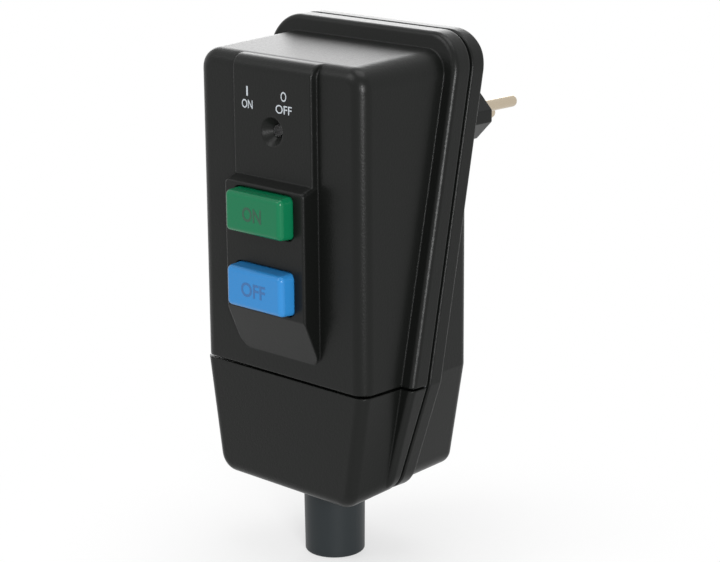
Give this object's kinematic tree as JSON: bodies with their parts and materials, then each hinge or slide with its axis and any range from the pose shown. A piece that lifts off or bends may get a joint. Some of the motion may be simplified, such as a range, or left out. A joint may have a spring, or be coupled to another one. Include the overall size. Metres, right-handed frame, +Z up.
{
  "type": "residual current adapter plug",
  "caption": "Wall plug with a built-in residual current switch: reset and test buttons, a state window, three round pins and an inlet for a cable.",
  "frame": {"origin": "centre of the flat end of the plug's nose, where it meets a wall socket", "axes": "+X to the right as seen from the buttons, +Y out of the nose into the socket, +Z up, away from the cable inlet"},
  "size_m": [0.0824, 0.1127, 0.173],
  "materials": {
    "housing_black": "satin",
    "plug_black": "satin",
    "seal_rubber": "matte",
    "sleeve_rubber": "matte",
    "button_green": "satin",
    "button_blue": "satin",
    "lens_clear": "clear",
    "flag_black": "matte",
    "target_red": "matte",
    "frame_plastic": "satin",
    "carriage_plastic": "satin",
    "relay_plastic": "satin",
    "steel": "satin",
    "spring_steel": "satin",
    "pin_nickel": "polished",
    "contact_copper": "satin",
    "coil_copper": "satin",
    "magnet": "matte",
    "ferrite": "matte",
    "board_green": "satin",
    "capacitor_yellow": "gloss",
    "varistor_blue": "gloss",
    "chip_black": "matte",
    "resistor_tan": "gloss",
    "wire_brown": "satin",
    "terminal_white": "satin"
  },
  "bodies": {
    "adapter_body": {"front_cover": "housing_black", "terminal_cover": "housing_black", "rear_shell": "housing_black", "housing_seal": "seal_rubber", "plug_base": "plug_black", "plug_nose": "plug_black", "line_pin": "pin_nickel", "neutral_pin": "pin_nickel", "earth_pin": "pin_nickel", "reset_spring": "spring_steel", "test_spring": "spring_steel", "indicator_lens": "lens_clear", "flag_pin": "steel", "mechanism_frame": "frame_plastic", "fixed_contacts": "contact_copper", "carriage_spring": "spring_steel", "trip_relay_case": "relay_plastic", "trip_coil": "coil_copper", "trip_magnet": "magnet", "plunger_spring": "spring_steel", "test_contact": "contact_copper", "circuit_board": "board_green", "board_screws": "steel", "capacitor": "capacitor_yellow", "varistor": "varistor_blue", "control_chip": "chip_black", "test_resistor": "resistor_tan", "sense_core": "ferrite", "sense_winding": "coil_copper", "load_wires": "wire_brown", "earth_strap": "contact_copper", "terminal_block": "terminal_white", "terminal_screws": "steel", "cable_clamp": "terminal_white", "clamp_screws": "steel", "cable_sleeve": "sleeve_rubber", "housing_screws": "steel", "terminal_cover_screws": "steel"},
    "reset_button_body": {"reset_button": "button_green"},
    "test_button_body": {"test_button": "button_blue"},
    "carriage": {"contact_carriage": "carriage_plastic", "moving_contacts": "contact_copper"},
    "flag": {"indicator_flag": "flag_black", "red_target": "target_red"},
    "latch": {"latch_plate": "steel"},
    "plunger": {"trip_plunger": "steel"}
  },
  "joints": [
    {"name": "reset_press", "type": "slide", "parent": "adapter_body", "child": "reset_button_body", "axis": [0, 1, 0], "range_m": [0, 0.003], "stiffness_N_per_m": 600, "springref_m": -0.003, "deforming": ["reset_spring"]},
    {"name": "test_press", "type": "slide", "parent": "adapter_body", "child": "test_button_body", "axis": [0, 1, 0], "range_m": [0, 0.002], "stiffness_N_per_m": 600, "springref_m": -0.003, "deforming": ["test_spring"]},
    {"name": "carriage_slide", "type": "slide", "parent": "adapter_body", "child": "carriage", "axis": [0, -1, 0], "range_m": [0, 0.003], "stiffness_N_per_m": 500, "springref_m": -0.002, "deforming": ["carriage_spring"]},
    {"name": "flag_turn", "type": "hinge", "parent": "adapter_body", "child": "flag", "pos_m": [0, -0.0658, 0.00465], "axis": [-1, 0, 0], "range_deg": [0, 34.38]},
    {"name": "plunger_slide", "type": "slide", "parent": "adapter_body", "child": "plunger", "axis": [0, 0, -1], "range_m": [0, 0.002], "stiffness_N_per_m": 250, "springref_m": -0.002, "deforming": ["plunger_spring"]},
    {"name": "latch_slide", "type": "slide", "parent": "carriage", "child": "latch", "axis": [0, 0, -1], "range_m": [0, 0.002]}
  ],
  "couplings": [
    {"joint": "flag_turn", "follows": "carriage_slide", "rad_per_m": 200},
    {"joint": "latch_slide", "follows": "plunger_slide", "ratio": 1}
  ]
}
